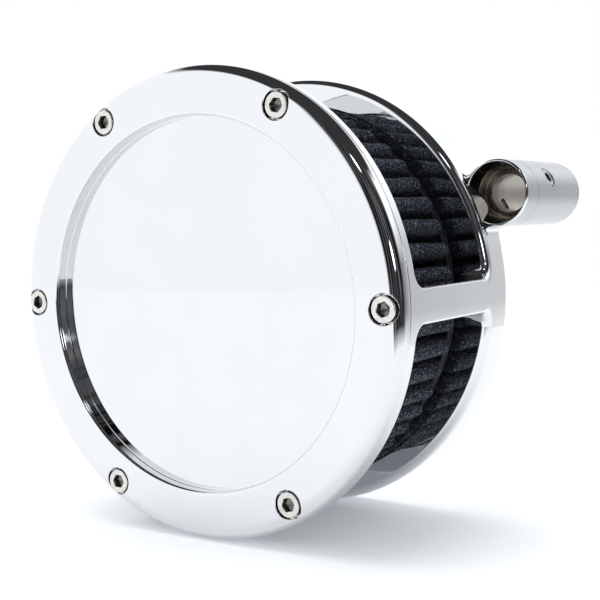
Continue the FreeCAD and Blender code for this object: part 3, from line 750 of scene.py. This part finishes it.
centre = np.array([TUBE_X, 0, TUBE_Z])
ear_turn = turn_about_y(math.atan2(TUBE_Z, TUBE_X))
grub_start = centre + [(TUBE_RADIUS - GRUB_SUNK) * math.cos(GRUB_ANGLE), GRUB_Y,
                       (TUBE_RADIUS - GRUB_SUNK) * math.sin(GRUB_ANGLE)]
for word, side in (("right", 1), ("left", -1)):
    ear = mesh_object("ear_" + word, *on_side(side, ear_mesh, ear_turn, 0))
    fit_out(ear, "housing", chrome, "housing_chrome")

    tube = mesh_object("standoff_tube_" + word, *on_side(side, tube_mesh, np.eye(3), centre))
    fit_out(tube, "housing", satin_tube, "standoff_aluminium", "standoff_" + word)

    grub = mesh_object("grub_" + word, *on_side(side, grub_mesh, turn_about_y(GRUB_ANGLE), grub_start))
    fit_out(grub, "housing", dark_steel, "grub_steel", "grub_screw_" + word)

    vertices, faces = lathe(round_section(TIP_SEAL[0], TUBE_END - TIP_SEAL[1], TIP_SEAL[1]), 96)
    seal = mesh_object("tip_seal_" + word, (vertices + centre) * [side, 1, 1],
                       faces if side < 0 else [face[::-1] for face in faces])
    fit_out(seal, "housing", seal_rubber, "seal_rubber", "standoff_seal_" + word)

# Inlet ring, bolts, washers and seal

bell_axes = (
    steps((26, 36, 0.4), (36, BELL_FLANGE + 1, 0.5)),
    steps((0, math.tau, math.radians(1.5)))[:-1],
    steps((BELL_FACE - 1, PLATE_FACE + 1, 0.4), (PLATE_FACE + 1, -1.5, 2.0), (-1.5, 1, 0.35)),
)
bell = mesh_object("inlet_ring", *skin(bell_distance, bell_axes, about_y, 1))
fit_out(bell, "housing", turned_bell, "bell_aluminium", "inlet_bell")

low, high = node_box("throttle_bolt_1")
bolt_length = high[1] - low[1] - BOLT_HEAD_HEIGHT
bolt_across = steps((-5.4, 5.4, 0.25))
bolt_mesh = skin(
    screw_distance(SCREW_HEAD, BOLT_HEAD_HEIGHT, 3.1, bolt_length, HEXAGON, 3.2, THREAD_PITCH),
    (bolt_across, steps((-7, bolt_length + 0.8, 0.25)), bolt_across))
washer_hole, washer_radius, washer_thickness, washer_break = 3.4, 6.0, 1.2, 0.15
washer_outline = [
    (washer_hole, 0.1 - washer_thickness), (washer_hole + 0.1, -washer_thickness),
    (washer_radius - washer_break, -washer_thickness), (washer_radius, washer_break - washer_thickness),
    (washer_radius, -washer_break), (washer_radius - washer_break, 0), (washer_hole, 0)]
for number in (1, 2, 3):
    low, high = node_box("throttle_bolt_%d" % number)
    place = [(low[0] + high[0]) / 2, low[1] + BOLT_HEAD_HEIGHT, (low[2] + high[2]) / 2]
    bolt = mesh_object("throttle_bolt_detail_%d" % number, bolt_mesh[0] + place, *bolt_mesh[1:])
    fit_out(bolt, "housing", stainless, "screw_steel", "throttle_bolt_%d" % number)
    low, high = node_box("washer_%d" % number)
    vertices, faces = lathe(washer_outline, 48)
    place = [(low[0] + high[0]) / 2, high[1], (low[2] + high[2]) / 2]
    washer = mesh_object("washer_detail_%d" % number, vertices + place, [face[::-1] for face in faces])
    washer.data.set_sharp_from_angle(angle=math.radians(35))
    fit_out(washer, "housing", stainless, "screw_steel", "washer_%d" % number)

circle, section_radius, _ = THROTTLE_SEAL
vertices, faces = lathe(round_section(circle, -section_radius, section_radius), 160)
seal = mesh_object("throttle_seal_detail", vertices, [face[::-1] for face in faces])
fit_out(seal, "housing", seal_rubber, "seal_rubber", "throttle_seal")

# Cover screws

screw_length = screw_high[1] - screw_low[1] - SCREW_HEAD_HEIGHT
screw_across = steps((-5.4, 5.4, 0.2))
screw_mesh = skin(
    screw_distance(SCREW_HEAD, SCREW_HEAD_HEIGHT, 2.42, screw_length, HEXAGON, 2.9, THREAD_PITCH),
    (screw_across, steps((-5, screw_length + 0.8, 0.2)), screw_across))
hexagon_turns = (12, 41, 27, 5, 33, 19)
for number, turn in enumerate(hexagon_turns, start=1):
    low, high = node_box("cover_screw_%d" % number)
    spin = turn_about_y(-math.radians(turn))
    place = [(low[0] + high[0]) / 2, low[1] + SCREW_HEAD_HEIGHT, (low[2] + high[2]) / 2]
    vertices, faces, normals = screw_mesh
    screw = mesh_object("cover_screw_detail_%d" % number, vertices @ spin + place, faces, normals @ spin)
    fit_out(screw, "cover_screw_%d" % number, screw_steel, "screw_steel", "cover_screw_%d" % number)

# Element


def pleat_line():
    """Points round the folded sheet, its outward directions, its pleats' numbers, and 1 on a crest."""
    crest_circle = CREST_RADIUS - SHEET_HALF - CREST_BEND
    valley_circle = VALLEY_RADIUS + SHEET_HALF + VALLEY_BEND
    half = math.pi / PLEATS
    run = np.array([valley_circle * math.cos(half) - crest_circle, valley_circle * math.sin(half)])
    lean = math.atan2(run[1], run[0]) - math.acos((CREST_BEND + VALLEY_BEND) / np.hypot(*run))
    crest_turns = np.linspace(-lean, lean, 15)
    valley_turns = np.linspace(math.pi + lean - half, math.pi - lean + half, 9)
    bends = ((0, crest_circle, CREST_BEND, crest_turns, 1),
             (half, valley_circle, VALLEY_BEND, valley_turns, -1))
    line, normals, pleats, crests = [], [], [], []
    for pleat in range(PLEATS):
        for offset, circle, bend, turns, sign in bends:
            angle = 2 * half * pleat + PLEAT_START + offset
            for turn in turns:
                x, z = circle + bend * math.cos(turn), bend * math.sin(turn)
                line.append((x * math.cos(angle) - z * math.sin(angle),
                             x * math.sin(angle) + z * math.cos(angle)))
                normals.append((sign * math.cos(turn + angle), sign * math.sin(turn + angle)))
                pleats.append(pleat)
                crests.append(max(sign, 0))
    return np.array(line), np.array(normals), np.array(pleats), np.array(crests)


def filter_sheet():
    """The pleated sheet, outside and inside, with each pleat slightly bowed and uneven."""
    random = np.random.default_rng(12)
    line, normals, pleat, crest = pleat_line()
    count = len(line)
    bow = random.normal(0, 0.30, PLEATS)[pleat]
    swing = random.normal(0, 0.28, PLEATS)[pleat]
    phase = random.uniform(0, math.tau, PLEATS)[pleat]
    radial = line / np.linalg.norm(line, axis=1)[:, None]
    sideways = np.stack([-radial[:, 1], radial[:, 0]], -1)
    gap = np.linalg.norm(np.roll(line, -1, axis=0) - line, axis=1)
    arc = np.concatenate([[0], np.cumsum(gap)])
    rows = steps((gauze_low[1], gauze_low[1] + 7, 0.7), (gauze_low[1] + 7, gauze_high[1] - 7, 2.0),
                 (gauze_high[1] - 7, gauze_high[1], 0.7))
    vertices = []
    for offset in (SHEET_HALF, -SHEET_HALF):
        for y in rows:
            share = (y - rows[0]) / (rows[-1] - rows[0])
            middle = math.sin(math.pi * share)
            drift = (bow * middle + swing * middle * np.sin(2 * math.pi * share + phase)) * crest
            to_end = min(y - rows[0], rows[-1] - y)
            tuck = 4.2 * max(0.0, 1 - to_end / PINCHED) ** 2
            pinch = -(np.abs(bow) * middle * 0.8 + tuck) * crest
            spot = line + normals * offset + sideways * drift[:, None] + radial * pinch[:, None]
            vertices.append(np.column_stack([spot[:, 0], np.full(count, y), spot[:, 1]]))
    vertices = np.concatenate(vertices)
    faces, maps = [], []
    height = len(rows)
    for layer in (0, 1):
        base = layer * height * count
        for row in range(height - 1):
            for index in range(count):
                after = (index + 1) % count
                face = [base + row * count + index, base + row * count + after,
                        base + (row + 1) * count + after, base + (row + 1) * count + index]
                spots = [(arc[index], rows[row]), (arc[index + 1], rows[row]),
                         (arc[index + 1], rows[row + 1]), (arc[index], rows[row + 1])]
                faces.append(face[::-1] if layer == 0 else face)
                maps.extend(spots[::-1] if layer == 0 else spots)
    for row in (0, height - 1):
        for index in range(count):
            after = (index + 1) % count
            outer, inner = row * count, (height + row) * count
            face = [outer + index, outer + after, inner + after, inner + index]
            faces.append(face if row == 0 else face[::-1])
            maps.extend([(arc[index], 0)] * 4)
    piece = mesh_object("pleated_sheet", vertices, faces)
    layer = piece.data.uv_layers.new(name="sheet")
    layer.data.foreach_set("uv", np.array(maps, float).ravel())
    return piece


sheet = filter_sheet()
fit_out(sheet, "element", gauze, "filter_gauze",
        "element_gauze", "element_outer_mesh", "element_inner_mesh")

for name in ("element_front_cap", "element_rear_cap"):
    low, high = node_box(name)
    front, back, inner, outer = low[1], high[1], CAP_INNER, high[0] - CAP_INSET
    outline = [(inner, front + 0.3), (inner + 0.3, front), (inner + 2.2, front),
               (inner + 2.6, front + 0.35), (inner + 3.6, front + 0.35), (inner + 4.0, front),
               (outer - 3.0, front), (outer - 2.7, front + 0.3), (outer - 2.0, front + 0.3),
               (outer - 1.7, front), (outer - 0.5, front), (outer - 0.15, front + 0.15),
               (outer, front + 0.5),
               (outer, back - 0.5), (outer - 0.15, back - 0.15), (outer - 0.5, back),
               (inner + 0.3, back), (inner, back - 0.3)]
    vertices, faces = lathe(outline, 256)
    cap = mesh_object(name + "_moulding", vertices, [face[::-1] for face in faces])
    cap.data.set_sharp_from_angle(angle=math.radians(50))
    fit_out(cap, "element", cap_rubber, "cap_rubber", name)

# Floor, light and camera

FLOOR_REACH = 1300
FLOOR_RIGHT = 220
corners = [(-FLOOR_REACH, -FLOOR_REACH), (FLOOR_RIGHT, -FLOOR_REACH),
           (FLOOR_RIGHT, FLOOR_REACH), (-FLOOR_REACH, FLOOR_REACH)]
floor = mesh_object("floor", [(x, y, -RADIUS) for x, y in corners], [(0, 1, 2, 3)])
paper, tree, shader = node_material("paper_floor")
shader.inputs["Base Color"].default_value = (0.87, 0.87, 0.87, 1)
shader.inputs["Emission Color"].default_value = (0.80, 0.86, 0.93, 1)
shader.inputs["Emission Strength"].default_value = 0.30
shader.inputs["Roughness"].default_value = 0.9
shader.inputs["Specular IOR Level"].default_value = 0.0
floor.data.materials.append(paper)

WALL = 1.30
world = bpy.data.worlds.new("studio")
bpy.context.scene.world = world
world.use_nodes = True
tree = world.node_tree
background = tree.nodes["Background"]
direction = add(tree, "ShaderNodeTexCoord").outputs["Generated"]
parts = add(tree, "ShaderNodeSeparateXYZ", {"Vector": direction})
height = parts.outputs["Z"]
behind = calculate(tree, "MULTIPLY", parts.outputs["Y"], -1.0)
bearing = calculate(tree, "ARCTAN2", parts.outputs["X"], behind)


def stretch(value, start, stop, soft):
    """One between start and stop, fading to nothing over soft at both ends."""
    rise = ramp(tree, value, 0.0, 1.0, start - soft, start + soft)
    fall = ramp(tree, value, 1.0, 0.0, stop - soft, stop + soft)
    return calculate(tree, "MULTIPLY", rise, fall)


def blend(share, a, b):
    """A number that goes from a to b as the share goes from nothing to one."""
    return add(tree, "ShaderNodeMix", {"Factor": share, "A": a, "B": b}).outputs["Result"]


def lamp_spot(bearing_degrees, lift_degrees, width_degrees, strength):
    """A small soft lamp in the room, seen only in polished metal."""
    turn, lift = math.radians(bearing_degrees), math.radians(lift_degrees)
    place = (math.sin(turn) * math.cos(lift), -math.cos(turn) * math.cos(lift), math.sin(lift))
    facing = add(tree, "ShaderNodeVectorMath", {0: direction, 1: place}, operation="DOT_PRODUCT")
    edge = math.cos(math.radians(width_degrees))
    return ramp(tree, facing.outputs["Value"], 0.0, strength, edge, 1.0)


# What polished metal shows: pale walls, a dark room to the front right, a dim back right, a dark
# strip low on the left and a dark ceiling. Bearings are from the front towards the right.
right_wall = ramp(tree, bearing, 0.34, 0.66, math.radians(105), math.radians(150))
right_wall = blend(ramp(tree, bearing, 0.0, 1.0, math.radians(150), math.radians(178)), right_wall, WALL)
right_wall = blend(ramp(tree, height, 0.0, 1.0, 0.20, 0.48), right_wall, 1.6)
right_wall = blend(ramp(tree, height, 1.0, 0.0, -0.29, -0.10), right_wall, WALL)
room = blend(stretch(bearing, math.radians(92), math.radians(185), math.radians(4)), WALL, right_wall)
columns = add(tree, "ShaderNodeCombineXYZ", {"X": calculate(tree, "MULTIPLY", bearing, 7.0),
                                             "Y": calculate(tree, "MULTIPLY", height, 1.6)})
murk = add(tree, "ShaderNodeTexNoise", {
    "Vector": columns.outputs["Vector"], "Scale": 1.0, "Detail": 3.0}).outputs["Fac"]
dark = calculate(tree, "MULTIPLY", stretch(bearing, math.radians(-8), math.radians(98), math.radians(6)),
                 ramp(tree, height, 0.0, 1.0, -0.32, -0.18))
room = blend(dark, room, ramp(tree, murk, 0.004, 0.32, 0.46, 0.74))
rearward = ramp(tree, parts.outputs["Y"], 0.0, 0.15, 0.0, 1.0)
lifted = calculate(tree, "ADD", height, rearward)
room = blend(ramp(tree, lifted, 0.0, 1.0, 0.70, 0.78), room, 0.045)
strip = calculate(tree, "MULTIPLY", stretch(bearing, math.radians(-152), math.radians(-131), 0.03),
                  stretch(height, -0.2, 0.03, 0.01))
room = blend(strip, room, 0.012)
for lamp in ((50, 13, 5.5, 9.0), (40, 45, 4.0, 9.0)):
    room = calculate(tree, "ADD", room, lamp_spot(*lamp))
# What lights everything else: brighter from above
sky = ramp(tree, height, 0.10, 0.80, -0.15, 0.35)
rays = add(tree, "ShaderNodeLightPath")
level = blend(rays.outputs["Is Glossy Ray"], sky, room)
level = blend(rays.outputs["Is Camera Ray"], level, 1.0)
tree.links.new(level, background.inputs["Strength"])
tint = add(tree, "ShaderNodeMix", {
    "Factor": rays.outputs["Is Camera Ray"], "A": (0.965, 0.98, 1.0, 1), "B": (1, 1, 1, 1),
}, data_type="RGBA")
tree.links.new(tint.outputs["Result"], background.inputs["Color"])

sunlight = bpy.data.lights.new("soft_top_left", "SUN")
sunlight.energy = 1.45
sunlight.angle = math.radians(50)
sun = bpy.data.objects.new("soft_top_left", sunlight)
sun.rotation_euler = Vector((0.20, -0.04, -0.98)).to_track_quat("-Z", "Y").to_euler()
sun.visible_glossy = False
bpy.context.scene.collection.objects.link(sun)

AZIMUTH = math.radians(33.88)
ELEVATION = math.radians(4.02)
ROLL = math.radians(-1.72)
DISTANCE = 0.3912
aim = Vector((0.0493, FRONT * MM, 0.0028))
back = Vector((math.sin(AZIMUTH) * math.cos(ELEVATION), -math.cos(AZIMUTH) * math.cos(ELEVATION),
               math.sin(ELEVATION)))
right = (-back).cross(Vector((0, 0, 1))).normalized()
up = right.cross(-back)
tilted_right = math.cos(ROLL) * right + math.sin(ROLL) * up
tilted_up = -math.sin(ROLL) * right + math.cos(ROLL) * up
lens = bpy.data.cameras.new("camera")
lens.lens = 66.8
lens.sensor_width = 36.0
lens.clip_start = 0.01
camera = bpy.data.objects.new("camera", lens)
camera.matrix_world = Matrix.Translation(aim + back * DISTANCE) @ Matrix(
    (tilted_right, tilted_up, back)).transposed().to_4x4()
bpy.context.scene.collection.objects.link(camera)
bpy.context.scene.camera = camera
bpy.context.scene.view_settings.view_transform = "Standard"
